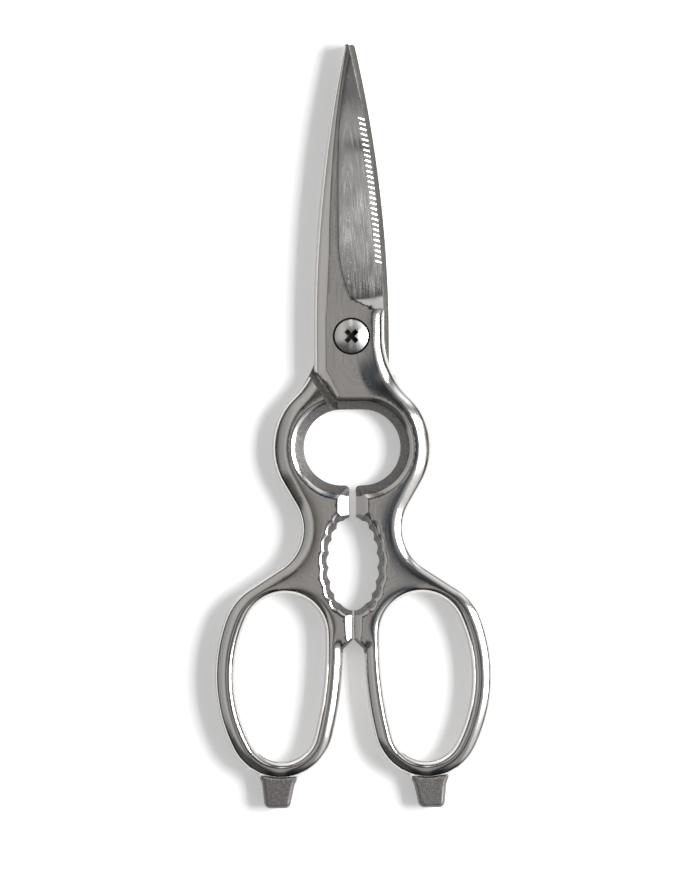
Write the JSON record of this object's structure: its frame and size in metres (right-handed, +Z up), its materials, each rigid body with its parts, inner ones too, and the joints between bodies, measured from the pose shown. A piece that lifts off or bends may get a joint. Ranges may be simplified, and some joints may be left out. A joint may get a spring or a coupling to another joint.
{
  "type": "kitchen shears",
  "caption": "All-metal kitchen shears: crossed forged halves on a screw pivot, one fine-toothed edge, bottle opener hole, nutcracker jaws, egg-shaped finger bows and driver lugs.",
  "frame": {"origin": "on the pivot axis, in the plane that the closed shears lie on", "axes": "+Z up along the pivot axis towards the screw head, +Y from the pivot to the blade tips, +X towards the front half's handle"},
  "size_m": [0.0746, 0.2055, 0.008],
  "materials": {
    "forged_stainless": "polished forged stainless steel, walls of the openings and the lugs blasted matt",
    "fastener_stainless": "bright turned stainless steel"
  },
  "bodies": {
    "rear": {"rear_half": "forged_stainless", "pivot_screw": "fastener_stainless", "spring_washer": "fastener_stainless", "lock_nut": "fastener_stainless"},
    "front": {"front_half": "forged_stainless"}
  },
  "joints": [
    {"name": "blade_pivot", "type": "hinge", "parent": "rear", "child": "front", "pos_m": [0, 0, 0.0035], "axis": [0, 0, 1], "range_deg": [0, 90]}
  ]
}
